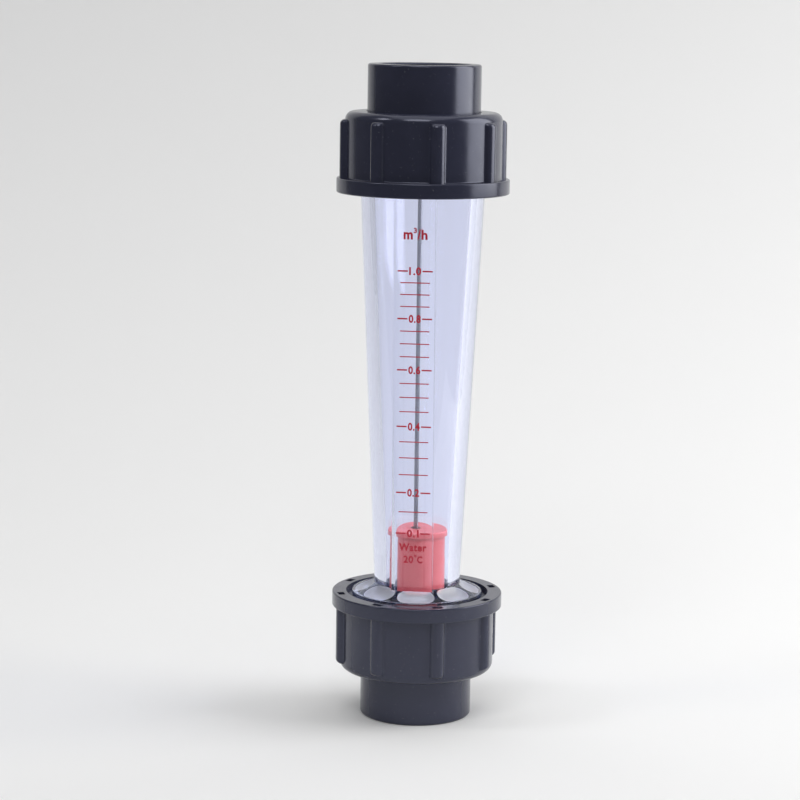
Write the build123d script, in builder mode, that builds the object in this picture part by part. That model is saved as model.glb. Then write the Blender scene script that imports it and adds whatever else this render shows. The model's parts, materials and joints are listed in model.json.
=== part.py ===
from build123d import *
import os
from dataclasses import dataclass
from math import degrees, sqrt

# Plastic-tube flow meter: a float rides on a rod inside a clear tapered tube, between two unions.
# Millimetres. The tube's axis is Z, the lower socket stands on Z = 0 and the scale faces -Y.
# Both ends hold the same mouldings, so each is described by its distance inward from its own end.

# Ends, measured inward from the face that the pipe enters
socket_reach = 16.9
nut_height = 29.0
rim_span = 146.0

# Pipe sockets, for 32 mm pipe
pipe_r = 16.0
pipe_fit = 0.1
pipe_depth = 22.0
socket_wall = 4.2
port_r = 13.6
socket_flange_gap = 0.2
socket_face = 26.9
socket_edge_round = 0.8
socket_mouth_chamfer = 0.6

# Face seal between socket and tube
joint_gap = 0.3
ring_section = 2.0
groove_depth = 1.5
groove_side_gap = 0.2

# Union nuts
nut_wall = 4.1
nut_floor = 4.0
nut_hole_gap = 0.3
nut_shoulder_round = 3.0
nut_top_land = 0.5
nut_flange_reach = 2.9
nut_flange_height = 5.3
nut_flange_round = 0.5
nut_mouth_step = 1.9
nut_mouth_depth = 4.0
nut_mouth_chamfer = 1.2
thread_gap = 0.35
rib_count = 8
rib_width = 5.2
rib_height = 2.1
rib_start = 2.8
rib_round = 1.4
rib_root_depth = 1.8
pit_width = 3.8
pit_radial = 2.4
pit_depth = 3.5
upper_rib_turn = 16.9
lower_rib_turn = 22.3

# Clear metering tube
cone_low_r = 15.5
cone_top_r = 22.3
tube_wall = 4.75
inlet_r = 11.4
holder_ledge = 1.0
holder_seat_depth = 4.2
seal_land = 4.35
thread_depth = 0.85
collar_proud = 0.3
collar_rim = 2.6
tube_end_chamfer = 0.5

# Flared foot of the tube, with scooped bowls between gussets
flare_height = 4.8
bowl_count = 8
bowl_turn = 10.9
bowl_width = 7.8
bowl_depth = 0.4
bowl_wall = 0.15
gusset_width = 1.0

# Flat scale panel on the front of the tube
panel_width = 15.0
panel_proud = 0.8
panel_embed = 3.75
panel_foot = 2.8
panel_round = 0.3

# Guide rod and its holders
rod_r = 1.2
rod_fit = 0.05
rod_end_reach = 1.0
rod_end_chamfer = 0.3
holder_fit = 0.1
holder_ring = 3.2
holder_hub_r = 3.6
holder_hub_reach = 8.0
spoke_count = 4
spoke_width = 2.2
spoke_height = 2.8
bumper_r = 3.5
bumper_thickness = 2.0
bumper_round = 0.5
washer_r = 2.5
washer_thickness = 0.5
lock_nut_flats = 5.0
lock_nut_height = 2.0

# Float
float_rest_gap = 0.2
float_length = 28.1
float_r = 10.0
lip_r = 10.9
lip_height = 1.9
lip_round = 0.5
cap_height = 3.5
cap_nose_r = 7.6
spigot_height = 2.0
float_wall = 1.6
float_top_wall = 3.0
sleeve_wall = 1.3
bush_wall = 1.4
bush_run = 0.07
bush_length = 4.0
bush_fit = 0.05
weight_length = 16.0
weight_fit = 0.2

# Worked-out sizes
total_height = 2 * (socket_reach + nut_height) + rim_span
socket_bore_r = pipe_r + pipe_fit
socket_r = socket_bore_r + socket_wall
nut_floor_top = socket_reach + nut_floor
flange_bottom = nut_floor_top + socket_flange_gap
nut_rim = socket_reach + nut_height
nut_hole_r = socket_r + nut_hole_gap
tube_end = socket_face + joint_gap
holder_seat = tube_end + holder_seat_depth
collar_top = nut_rim + collar_proud
collar_under = collar_top - collar_rim
outlet_r = cone_top_r - tube_wall
holder_seat_r = outlet_r + holder_ledge
thread_root_r = holder_seat_r + seal_land
collar_r = thread_root_r + thread_depth
ring_r = (holder_seat_r + thread_root_r) / 2
nut_bore_r = collar_r + thread_gap
nut_mouth_r = nut_bore_r + nut_mouth_step
nut_body_r = nut_bore_r + nut_wall
nut_flange_r = nut_body_r + nut_flange_reach
rib_outer_r = nut_body_r + rib_height
pit_r = (nut_mouth_r + nut_flange_r) / 2
holder_r = holder_seat_r - holder_fit
holder_face = tube_end + holder_fit
hub_end = holder_seat + holder_hub_reach
stop_face = hub_end + bumper_thickness
float_bottom = stop_face + float_rest_gap
float_top = float_bottom + float_length
rod_clear_r = rod_r + rod_fit
sleeve_bore_r = rod_r + bush_run + bush_wall + bush_fit
sleeve_r = sleeve_bore_r + sleeve_wall
chamber_r = float_r - float_wall
cap_top = float_bottom + cap_height
bowl_r = bowl_width / 2
bowl_mid_r = cone_low_r + bowl_wall + bowl_r
bowl_lift = bowl_r - bowl_depth
flare_r = bowl_mid_r + sqrt(bowl_r**2 - bowl_lift**2)
bowl_arc = 360 / bowl_count - degrees((bowl_width + gusset_width) / bowl_mid_r)
cone_slope = (cone_top_r - cone_low_r) / (total_height - 2 * collar_top)
taper_start = collar_top + (inlet_r + tube_wall - cone_low_r) / cone_slope
rod_tip = holder_face - washer_thickness - lock_nut_height - rod_end_reach


@dataclass
class End:
    """One end of the meter: a plane across its outer face, and a profile plane of radius and depth."""

    name: str
    face: Plane
    profile: Plane


top_point = (0, 0, total_height)
LOWER = End("lower", Plane.XY, Plane.XZ)
UPPER = End(
    "upper",
    Plane(origin=top_point, x_dir=(1, 0, 0), z_dir=(0, 0, -1)),
    Plane(origin=top_point, x_dir=(1, 0, 0), z_dir=(0, 1, 0)),
)


def cone_r(height):
    """Outer radius of the tapered tube at a height above the base."""
    return cone_low_r + cone_slope * (height - collar_top)


def corner(profile, radius, depth):
    """The corner of a profile sketch that lies nearest to a radius and depth."""
    return profile.vertices().sort_by_distance((radius, depth, 0))[0]


def pipe_socket(end):
    """Plain socket for a cemented pipe, with the flange that its nut pulls against the tube."""
    groove_inner_r = ring_r - ring_section / 2 - groove_side_gap
    groove_outer_r = ring_r + ring_section / 2 + groove_side_gap
    groove_floor = socket_face - groove_depth
    with BuildPart() as socket:
        with BuildSketch(end.profile) as profile:
            with BuildLine():
                Polyline(
                    (socket_bore_r, 0),
                    (socket_r, 0),
                    (socket_r, flange_bottom),
                    (thread_root_r, flange_bottom),
                    (thread_root_r, socket_face),
                    (groove_outer_r, socket_face),
                    (groove_outer_r, groove_floor),
                    (groove_inner_r, groove_floor),
                    (groove_inner_r, socket_face),
                    (port_r, socket_face),
                    (port_r, pipe_depth),
                    (socket_bore_r, pipe_depth),
                    close=True,
                )
            make_face()
            fillet(corner(profile, socket_r, 0), socket_edge_round)
            chamfer(corner(profile, socket_bore_r, 0), socket_mouth_chamfer)
        revolve(axis=Axis.Z)
    return socket.part


def face_seal(end):
    """O-ring, squeezed flat between its groove and the tube's end face."""
    squeezed = groove_depth + joint_gap
    with BuildPart() as ring:
        with BuildSketch(end.profile):
            with Locations((ring_r, socket_face - groove_depth + squeezed / 2)):
                Circle(ring_section / 2)
                Rectangle(ring_section, squeezed, mode=Mode.INTERSECT)
        revolve(axis=Axis.Z)
    return ring.part


def union_nut(end, rib_turn):
    """Union nut with grip ribs, a flanged mouth and a core pit in its rim behind each rib."""
    flange_under = nut_rim - nut_flange_height
    rib_inner_r = nut_body_r - rib_root_depth
    rib_end = socket_reach + rib_start
    mouth_floor = nut_rim - nut_mouth_depth
    shoulder_round = min(nut_shoulder_round, nut_body_r - nut_hole_r - nut_top_land)
    with BuildPart() as rib:
        with BuildSketch(end.face.offset(rib_end)):
            with Locations(((rib_inner_r + rib_outer_r) / 2, 0)):
                Rectangle(rib_outer_r - rib_inner_r, rib_width)
        extrude(amount=flange_under - rib_end)
        grip_edges = rib.faces().sort_by(Axis.X)[-1].edges()
        inward = Axis(end.face.origin, end.face.z_dir)
        fillet(grip_edges.sort_by(inward)[:-1], rib_round)
    with BuildPart() as nut:
        with BuildSketch(end.profile) as profile:
            with BuildLine():
                Polyline(
                    (nut_hole_r, socket_reach),
                    (nut_body_r, socket_reach),
                    (nut_body_r, flange_under),
                    (nut_flange_r, flange_under),
                    (nut_flange_r, nut_rim),
                    (nut_mouth_r, nut_rim),
                    (nut_mouth_r, mouth_floor + nut_mouth_chamfer),
                    (nut_bore_r, mouth_floor),
                    (nut_bore_r, nut_floor_top),
                    (nut_hole_r, nut_floor_top),
                    close=True,
                )
            make_face()
            fillet(corner(profile, nut_body_r, socket_reach), shoulder_round)
            fillet(corner(profile, nut_flange_r, flange_under), nut_flange_round)
            fillet(corner(profile, nut_flange_r, nut_rim), nut_flange_round)
        revolve(axis=Axis.Z)
        with PolarLocations(0, rib_count, start_angle=rib_turn):
            add(rib.part)
        with BuildSketch(end.face.offset(nut_rim)):
            plane_turn = rib_turn * end.face.z_dir.Z
            with PolarLocations(pit_r, rib_count, start_angle=plane_turn):
                Rectangle(pit_radial, pit_width)
        extrude(amount=-pit_depth, mode=Mode.SUBTRACT)
    return nut.part


def rod_holder(end):
    """Spoked disc that centres the guide rod, clamped between the tube's seat and the socket."""
    spoke_length = holder_r - holder_ring / 2
    with BuildPart() as holder:
        with BuildSketch(end.face.offset(holder_face)):
            Circle(holder_r)
            Circle(holder_r - holder_ring, mode=Mode.SUBTRACT)
        extrude(amount=holder_seat - holder_face)
        with BuildSketch(end.face.offset(holder_face)):
            with PolarLocations(spoke_length / 2, spoke_count):
                Rectangle(spoke_length, spoke_width)
        extrude(amount=spoke_height)
        with BuildSketch(end.face.offset(holder_face)):
            Circle(holder_hub_r)
        extrude(amount=hub_end - holder_face)
        with BuildSketch(end.face.offset(holder_face)):
            Circle(rod_clear_r)
        extrude(amount=hub_end - holder_face, mode=Mode.SUBTRACT)
    return holder.part


def stop_bumper(end):
    """Soft ring at the end of the holder's hub, where the float stops."""
    with BuildPart() as bumper:
        with BuildSketch(end.face.offset(hub_end)):
            Circle(bumper_r)
            Circle(rod_clear_r, mode=Mode.SUBTRACT)
        extrude(amount=bumper_thickness)
        rims = bumper.edges().filter_by(GeomType.CIRCLE).group_by(SortBy.RADIUS)[-1]
        fillet(rims, bumper_round)
    return bumper.part


def rod_washer(end):
    """Washer between the lock nut and the holder."""
    with BuildPart() as washer:
        with BuildSketch(end.face.offset(holder_face - washer_thickness)):
            Circle(washer_r)
            Circle(rod_clear_r, mode=Mode.SUBTRACT)
        extrude(amount=washer_thickness)
    return washer.part


def rod_nut(end):
    """Hexagonal lock nut on the end of the guide rod."""
    with BuildPart() as lock_nut:
        with BuildSketch(end.face.offset(holder_face - washer_thickness - lock_nut_height)):
            RegularPolygon(lock_nut_flats / 2, 6, major_radius=False)
            Circle(rod_clear_r, mode=Mode.SUBTRACT)
        extrude(amount=lock_nut_height)
    return lock_nut.part


# One scooped bowl of the tube's foot, a round trough with round ends
with BuildPart() as bowl:
    with BuildSketch(Plane.XZ.rotated((0, 0, bowl_arc / 2))):
        with Locations((bowl_mid_r, collar_top + bowl_lift)):
            Circle(bowl_r)
    revolve(axis=-Axis.Z, revolution_arc=bowl_arc)
    with Locations((0, 0, collar_top + bowl_lift)):
        with PolarLocations(bowl_mid_r, 2, -bowl_arc / 2, bowl_arc, endpoint=True):
            Sphere(bowl_r)

# Flat scale panel, as long as the visible tube and parallel to the cone's front
with BuildPart() as scale_panel:
    panel_bottom = collar_top + panel_foot
    panel_top = total_height - collar_top
    with BuildSketch(Plane.YZ):
        with BuildLine():
            Polyline(
                (-cone_r(panel_bottom) - panel_proud, panel_bottom),
                (-cone_top_r - panel_proud, panel_top),
                (-cone_top_r + panel_embed, panel_top),
                (-cone_r(panel_bottom) + panel_embed, panel_bottom),
                close=True,
            )
        make_face()
    extrude(amount=panel_width / 2, both=True)
    panel_face = scale_panel.faces().sort_by(SortBy.AREA)[-2:].sort_by(Axis.Y)[0]
    fillet(panel_face.edges().sort_by(SortBy.LENGTH)[-2:], panel_round)

# The clear tube is one moulding: threaded ends, tapered wall, flared foot and flat scale panel
with BuildPart() as metering_tube:
    top_end = total_height - tube_end
    top_seat = total_height - holder_seat
    top_collar = total_height - collar_top
    top_collar_over = total_height - collar_under
    with BuildSketch(Plane.XZ) as tube_profile:
        with BuildLine():
            Polyline(
                (holder_seat_r, tube_end),
                (thread_root_r, tube_end),
                (thread_root_r, collar_under),
                (collar_r, collar_under + thread_depth),
                (collar_r, collar_top),
                (flare_r, collar_top),
                (cone_r(collar_top + flare_height), collar_top + flare_height),
                (cone_top_r, top_collar),
                (collar_r, top_collar),
                (collar_r, top_collar_over - thread_depth),
                (thread_root_r, top_collar_over),
                (thread_root_r, top_end),
                (holder_seat_r, top_end),
                (holder_seat_r, top_seat),
                (outlet_r, top_seat),
                (outlet_r, top_collar),
                (inlet_r, taper_start),
                (inlet_r, holder_seat),
                (holder_seat_r, holder_seat),
                close=True,
            )
        make_face()
        chamfer(corner(tube_profile, thread_root_r, tube_end), tube_end_chamfer)
        chamfer(corner(tube_profile, thread_root_r, top_end), tube_end_chamfer)
    revolve(axis=Axis.Z)
    with PolarLocations(0, bowl_count, start_angle=bowl_turn - 90):
        add(bowl.part, mode=Mode.SUBTRACT)
    add(scale_panel.part)
metering_tube.part.label = "metering_tube"

# Stainless guide rod from lock nut to lock nut
with BuildPart() as guide_rod:
    with BuildSketch(Plane.XY.offset(rod_tip)):
        Circle(rod_r)
    extrude(amount=total_height - 2 * rod_tip)
    chamfer(guide_rod.edges().filter_by(GeomType.CIRCLE), rod_end_chamfer)
guide_rod.part.label = "guide_rod"

# Float shell: a lipped cup, open below, round a central sleeve
with BuildPart() as float_body:
    chamber_top = float_top - float_top_wall
    with BuildSketch(Plane.XZ) as shell_profile:
        with BuildLine():
            Polyline(
                (sleeve_bore_r, cap_top),
                (sleeve_r, cap_top),
                (sleeve_r, chamber_top),
                (chamber_r, chamber_top),
                (chamber_r, cap_top),
                (float_r, cap_top),
                (float_r, float_top - lip_height),
                (lip_r, float_top - lip_height),
                (lip_r, float_top),
                (sleeve_bore_r, float_top),
                close=True,
            )
        make_face()
        fillet(corner(shell_profile, lip_r, float_top), lip_round)
    revolve(axis=Axis.Z)
float_body.part.label = "float_body"

# Cap that closes the float below and forms its nose
with BuildPart() as float_cap:
    with BuildSketch(Plane.XZ):
        with BuildLine():
            Polyline(
                (sleeve_bore_r, float_bottom),
                (cap_nose_r, float_bottom),
                (float_r, cap_top),
                (chamber_r - bush_fit, cap_top),
                (chamber_r - bush_fit, cap_top + spigot_height),
                (sleeve_r + bush_fit, cap_top + spigot_height),
                (sleeve_r + bush_fit, cap_top),
                (sleeve_bore_r, cap_top),
                close=True,
            )
        make_face()
    revolve(axis=Axis.Z)
float_cap.part.label = "float_cap"

# Steel ring that gives the float its weight
with BuildPart() as float_weight:
    with BuildSketch(Plane.XY.offset(cap_top + spigot_height)):
        Circle(chamber_r - weight_fit)
        Circle(sleeve_r + weight_fit, mode=Mode.SUBTRACT)
    extrude(amount=weight_length)
float_weight.part.label = "float_weight"


def float_bush(bottom):
    """Low-friction bush that the guide rod runs through."""
    with BuildPart() as bush:
        with BuildSketch(Plane.XY.offset(bottom)):
            Circle(sleeve_bore_r - bush_fit)
            Circle(rod_r + bush_run, mode=Mode.SUBTRACT)
        extrude(amount=bush_length)
    return bush.part


pieces = {
    "metering_tube": metering_tube.part,
    "guide_rod": guide_rod.part,
    "float_body": float_body.part,
    "float_cap": float_cap.part,
    "float_weight": float_weight.part,
    "float_lower_bush": float_bush(float_bottom),
    "float_upper_bush": float_bush(float_top - bush_length),
}
for end, rib_turn in ((LOWER, lower_rib_turn), (UPPER, upper_rib_turn)):
    pieces[f"{end.name}_socket"] = pipe_socket(end)
    pieces[f"{end.name}_o_ring"] = face_seal(end)
    pieces[f"{end.name}_union_nut"] = union_nut(end, rib_turn)
    pieces[f"{end.name}_rod_holder"] = rod_holder(end)
    pieces[f"{end.name}_stop_bumper"] = stop_bumper(end)
    pieces[f"{end.name}_rod_washer"] = rod_washer(end)
    pieces[f"{end.name}_rod_nut"] = rod_nut(end)

os.makedirs("parts", exist_ok=True)
for name, piece in pieces.items():
    piece.label = name
    export_step(piece, f"parts/{name}.step")
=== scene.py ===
"""Dressed model of a plastic-tube flow meter: a red float in a clear tapered tube between two unions.

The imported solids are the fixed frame. The grey mouldings, the float, the guide rod and its holders are
those solids with their real finishes. The clear tube is modelled again with its threads, and the unions'
inner threads and the printed scale are added. Metres, Z up, with the scale facing -Y.
"""

import json
import logging
import math
from collections.abc import Iterable
from dataclasses import dataclass, field
from enum import Enum

import bmesh
import bpy
from mathutils import Matrix, Vector


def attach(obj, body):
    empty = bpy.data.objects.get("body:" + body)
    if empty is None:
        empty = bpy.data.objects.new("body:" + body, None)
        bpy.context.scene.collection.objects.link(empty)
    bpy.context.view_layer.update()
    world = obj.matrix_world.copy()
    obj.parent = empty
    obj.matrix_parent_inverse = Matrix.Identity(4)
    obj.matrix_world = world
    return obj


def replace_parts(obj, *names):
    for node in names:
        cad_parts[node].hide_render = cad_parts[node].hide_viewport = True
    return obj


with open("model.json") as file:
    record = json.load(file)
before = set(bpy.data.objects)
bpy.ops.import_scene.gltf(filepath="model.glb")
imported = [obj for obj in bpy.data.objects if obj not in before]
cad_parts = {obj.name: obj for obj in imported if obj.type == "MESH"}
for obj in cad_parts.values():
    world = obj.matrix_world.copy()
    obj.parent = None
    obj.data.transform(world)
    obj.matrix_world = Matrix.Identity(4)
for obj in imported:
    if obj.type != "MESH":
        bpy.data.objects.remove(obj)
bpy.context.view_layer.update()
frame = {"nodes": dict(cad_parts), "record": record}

MM = 0.001
LENGTH = 237.8 * MM
MERGE = 0.0005 * MM
SHARP = math.radians(35)
NOISE_SPAN = (0.3, 0.7)
Z_AXIS = Vector((0, 0, 1))
ORIGIN = Vector((0, 0, 0))
Colour = tuple[float, float, float]
Point = tuple[float, float, float]

log = logging.getLogger("flow_meter")


class Slot(Enum):
    """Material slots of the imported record."""

    CLEAR = "clear_plastic"
    GREY = "grey_plastic"
    RED = "red_plastic"
    WHITE = "white_plastic"
    BUSH = "bush_plastic"
    STAINLESS = "stainless_steel"
    STEEL = "plain_steel"
    RUBBER = "black_rubber"


class End(Enum):
    """Ends of the meter."""

    LOWER = "lower"
    UPPER = "upper"


class NodeTree:
    """A material's node tree, written with short calls."""

    def __init__(self, name: str) -> None:
        """Start a material with a Principled shader on its output.

        Args:
            name: Name of the material.
        """
        self.material = bpy.data.materials.new(name)
        self.material.use_nodes = True
        self.tree = self.material.node_tree
        self.tree.nodes.clear()
        self.output = self.add("ShaderNodeOutputMaterial")
        self.shader = self.add("ShaderNodeBsdfPrincipled")
        self.link(self.shader.outputs[0], self.output.inputs["Surface"])

    def add(self, kind: str, **settings: object) -> bpy.types.Node:
        """Add a node.

        Args:
            kind: Blender's name of the node type.
            **settings: Properties to set on the node.

        Returns:
            The new node.
        """
        node = self.tree.nodes.new(kind)
        for name, value in settings.items():
            setattr(node, name, value)
        return node

    def link(self, source: bpy.types.NodeSocket, target: bpy.types.NodeSocket) -> None:
        """Link an output to an input."""
        self.tree.links.new(source, target)

    def set(self, **values: object) -> None:
        """Set constants on the shader's own sockets.

        Args:
            **values: Socket names, with underscores for spaces, and their values.
        """
        for name, value in values.items():
            self.shader.inputs[name.replace("_", " ").title().replace("Ior", "IOR")].default_value = value

    def noise(self, size: float, detail: float = 3.0, stretch: Point = (1, 1, 1)) -> bpy.types.NodeSocket:
        """Add noise on Object coordinates.

        Args:
            size: Size of its features in metres.
            detail: Octaves of finer noise.
            stretch: How many times longer the features are along each axis.

        Returns:
            The noise value, about 0.5 on average.
        """
        place = self.add("ShaderNodeTexCoord")
        scale = self.add("ShaderNodeMapping")
        scale.inputs["Scale"].default_value = tuple(1 / s for s in stretch)
        noise = self.add("ShaderNodeTexNoise")
        noise.inputs["Scale"].default_value = 1 / size
        noise.inputs["Detail"].default_value = detail
        self.link(place.outputs["Object"], scale.inputs["Vector"])
        self.link(scale.outputs[0], noise.inputs["Vector"])
        return noise.outputs["Fac"]

    def spread(
        self, source: bpy.types.NodeSocket, given: tuple[float, float], wanted: tuple[float, float]
    ) -> bpy.types.NodeSocket:
        """Map a value from one range to another, held at the ends.

        Args:
            source: The value.
            given: Range of the value that counts.
            wanted: Range that comes out.

        Returns:
            The mapped value.
        """
        ranged = self.add("ShaderNodeMapRange")
        for name, value in zip(("From Min", "From Max", "To Min", "To Max"), given + wanted):
            ranged.inputs[name].default_value = value
        self.link(source, ranged.inputs["Value"])
        return ranged.outputs["Result"]

    def work_out(self, operation: str, *terms: float | bpy.types.NodeSocket) -> bpy.types.NodeSocket:
        """Work out a value.

        Args:
            operation: Blender's name of the operation.
            *terms: Its terms, as numbers or as the outputs that give them.

        Returns:
            The result.
        """
        node = self.add("ShaderNodeMath", operation=operation)
        for term, socket in zip(terms, node.inputs):
            if isinstance(term, bpy.types.NodeSocket):
                self.link(term, socket)
            else:
                socket.default_value = term
        return node.outputs[0]

    def cover(
        self, factor: bpy.types.NodeSocket, below: bpy.types.NodeSocket, above: bpy.types.NodeSocket
    ) -> None:
        """Put a mix of two shaders on the output.

        Args:
            factor: Share of the second shader.
            below: First shader.
            above: Second shader.
        """
        mix = self.add("ShaderNodeMixShader")
        for source, socket in zip((factor, below, above), mix.inputs):
            self.link(source, socket)
        self.link(mix.outputs[0], self.output.inputs["Surface"])

    def blend(
        self, factor: bpy.types.NodeSocket, low: Colour | bpy.types.NodeSocket, high: Colour
    ) -> bpy.types.NodeSocket:
        """Mix two colours.

        Args:
            factor: Share of the second colour.
            low: First colour, or the output that gives it.
            high: Second colour.

        Returns:
            The mixed colour.
        """
        mix = self.add("ShaderNodeMix", data_type="RGBA")
        self.link(factor, mix.inputs["Factor"])
        if isinstance(low, bpy.types.NodeSocket):
            self.link(low, mix.inputs["A"])
        else:
            mix.inputs["A"].default_value = (*low, 1)
        mix.inputs["B"].default_value = (*high, 1)
        return mix.outputs["Result"]

    def bump(self, height: bpy.types.NodeSocket, depth: float) -> None:
        """Give the surface a relief.

        Args:
            height: Height from 0 to 1.
            depth: Depth of the relief in metres.
        """
        bump = self.add("ShaderNodeBump")
        bump.inputs["Distance"].default_value = depth
        self.link(height, bump.inputs["Height"])
        self.link(bump.outputs[0], self.shader.inputs["Normal"])


@dataclass(frozen=True)
class Moulded:
    """Opaque moulded plastic or rubber."""

    name: str
    colour: Colour
    shade: Colour
    roughness: tuple[float, float]
    cloud_size: float = 9 * MM
    grain_size: float = 0.5 * MM
    grain_depth: float = 0.004 * MM
    dust: Colour | None = None
    dust_size: float = 0.35 * MM
    dust_level: tuple[float, float] = (0.735, 0.76)
    specular: float = 0.5
    tint: Colour = (1, 1, 1)

    def build(self) -> bpy.types.Material:
        """Make the material, with cloudy colour, uneven gloss, a fine skin and specks of dust.

        Returns:
            The material.
        """
        tree = NodeTree(self.name)
        tree.set(specular_ior_level=self.specular, specular_tint=(*self.tint, 1))
        clouds = tree.noise(self.cloud_size)
        colour = tree.blend(tree.spread(clouds, NOISE_SPAN, (0, 1)), self.shade, self.colour)
        if self.dust:
            specks = tree.spread(tree.noise(self.dust_size, 1), self.dust_level, (0, 1))
            colour = tree.blend(specks, colour, self.dust)
        tree.link(colour, tree.shader.inputs["Base Color"])
        gloss = tree.spread(tree.noise(self.cloud_size / 2), NOISE_SPAN, self.roughness)
        tree.link(gloss, tree.shader.inputs["Roughness"])
        tree.bump(tree.noise(self.grain_size), self.grain_depth)
        return tree.material


@dataclass(frozen=True)
class TubeOutside:
    """Outside of the clear tube, whose sizes its moulding, its finish and its print share."""

    length: float = LENGTH
    collar_top: float = 46.2 * MM
    cone_low_r: float = 15.5 * MM
    cone_top_r: float = 22.3 * MM
    flare_r: float = 22.9 * MM
    flare_height: float = 3.3 * MM

    @property
    def slope(self) -> float:
        """Growth of the outer radius for each metre of height."""
        return (self.cone_top_r - self.cone_low_r) / (self.length - 2 * self.collar_top)

    @property
    def flare_top(self) -> float:
        """Height at which the flared foot meets the tapered wall."""
        return self.collar_top + self.flare_height

    def cone_r(self, height: float) -> float:
        """Outer radius of the tapered wall at a height."""
        return self.cone_low_r + self.slope * (height - self.collar_top)


@dataclass(frozen=True)
class Clear:
    """Clear moulded plastic with faint flow lines, matt in the nuts and cloudy on the bowls of the foot."""

    name: str = "clear_moulding"
    colour: Colour = (0.9, 0.912, 1.0)
    depth_colour: Colour = (0.0, 0.25, 0.97)
    depth_density: float = 8.0
    refraction: float = 1.5
    roughness: float = 0.0
    streak_size: float = 1.4 * MM
    streak_length: float = 60.0
    streak_depth: float = 0.004 * MM
    shadow: Colour = (0.86, 0.88, 0.93)
    tube: TubeOutside = TubeOutside()
    matt: float = 0.08
    matt_margin: float = 0.8 * MM
    matt_fade: float = 0.2 * MM
    bowl_matt: float = 0.3
    bowl_milk: float = 0.42
    bowl_margin: float = 0.6 * MM
    cone_margin: float = 0.2 * MM
    flare_margin: float = 0.12 * MM
    bowl_fade: float = 0.1 * MM

    def build(self) -> bpy.types.Material:
        """Make the material. Lamps shine through it with a pale shadow.

        Returns:
            The material.
        """
        tree = NodeTree(self.name)
        tree.set(
            base_color=(*self.colour, 1),
            roughness=self.roughness,
            transmission_weight=1.0,
            ior=self.refraction,
        )
        tree.bump(tree.noise(self.streak_size, 1, (1, 1, self.streak_length)), self.streak_depth)
        self.frost(tree)
        light = tree.add("ShaderNodeLightPath")
        through = tree.add("ShaderNodeBsdfTransparent")
        through.inputs["Color"].default_value = (*self.shadow, 1)
        tree.cover(light.outputs["Is Shadow Ray"], tree.shader.outputs[0], through.outputs[0])
        depth = tree.add("ShaderNodeVolumeAbsorption")
        depth.inputs["Color"].default_value = (*self.depth_colour, 1)
        depth.inputs["Density"].default_value = self.depth_density
        tree.link(depth.outputs[0], tree.output.inputs["Volume"])
        return tree.material

    def frost(self, tree: NodeTree) -> None:
        """Make the ends matt and the bowls cloudy, and leave the wall between them clear.

        Args:
            tree: The material's tree.
        """
        place = tree.add("ShaderNodeTexCoord")
        parts = tree.add("ShaderNodeSeparateXYZ")
        tree.link(place.outputs["Object"], parts.inputs[0])
        height = parts.outputs["Z"]
        bowls = self.bowls(tree, place.outputs["Object"], height)
        clear = tree.spread(bowls, (0, 1), (1, 1 - self.bowl_milk))
        tree.link(clear, tree.shader.inputs["Transmission Weight"])
        bowl_matt = tree.spread(bowls, (0, 1), (0, self.bowl_matt))
        matt = tree.work_out("MAXIMUM", self.ends(tree, height), bowl_matt)
        tree.link(matt, tree.shader.inputs["Roughness"])

    def ends(self, tree: NodeTree, height: bpy.types.NodeSocket) -> bpy.types.NodeSocket:
        """Work out how matt the ends inside the nuts are.

        Args:
            tree: The material's tree.
            height: Height on the moulding.

        Returns:
            The roughness of the ends, or of the clear wall between them.
        """
        middle = self.tube.length / 2
        reach = tree.work_out("ABSOLUTE", tree.work_out("SUBTRACT", height, middle))
        edge = middle - self.tube.collar_top + self.matt_margin
        return tree.spread(reach, (edge, edge + self.matt_fade), (self.roughness, self.matt))

    def bowls(
        self, tree: NodeTree, point: bpy.types.NodeSocket, height: bpy.types.NodeSocket
    ) -> bpy.types.NodeSocket:
        """Find the scooped bowls: above the collar, outside the cone and under the flare's line.

        Args:
            tree: The material's tree.
            point: Place on the moulding.
            height: Its height.

        Returns:
            1 on the bowls and 0 elsewhere.
        """
        flat = tree.add("ShaderNodeVectorMath", operation="MULTIPLY")
        flat.inputs[1].default_value = (1, 1, 0)
        tree.link(point, flat.inputs[0])
        length = tree.add("ShaderNodeVectorMath", operation="LENGTH")
        tree.link(flat.outputs["Vector"], length.inputs[0])
        radius = length.outputs["Value"]
        inner = self.tube.cone_low_r - self.cone_margin
        low = self.tube.collar_top - self.bowl_margin
        flare_top_r = self.tube.cone_r(self.tube.flare_top)
        flare_slope = self.tube.flare_height / (self.tube.flare_r - flare_top_r)
        flare = self.tube.flare_top + flare_slope * flare_top_r - self.flare_margin
        reach = tree.work_out("MULTIPLY_ADD", radius, flare_slope, height)
        outside = tree.spread(radius, (inner - self.bowl_fade, inner), (0, 1))
        above = tree.spread(height, (low - self.bowl_fade, low), (0, 1))
        below = tree.spread(reach, (flare - self.bowl_fade, flare), (1, 0))
        return tree.work_out("MULTIPLY", tree.work_out("MULTIPLY", outside, above), below)


@dataclass(frozen=True)
class Metal:
    """Drawn or turned metal, with fine lines along one axis."""

    name: str
    colour: Colour
    shade: Colour
    roughness: tuple[float, float]
    lines: Point = (1, 1, 40)
    line_size: float = 0.25 * MM
    line_depth: float = 0.0015 * MM

    def build(self) -> bpy.types.Material:
        """Make the material, with colour, gloss and relief along the lines.

        Returns:
            The material.
        """
        tree = NodeTree(self.name)
        tree.set(metallic=1.0)
        lines = tree.noise(self.line_size, 3, self.lines)
        colour = tree.blend(tree.spread(lines, NOISE_SPAN, (0, 1)), self.shade, self.colour)
        tree.link(colour, tree.shader.inputs["Base Color"])
        gloss = tree.spread(lines, NOISE_SPAN, self.roughness)
        tree.link(gloss, tree.shader.inputs["Roughness"])
        tree.bump(lines, self.line_depth)
        return tree.material


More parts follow.
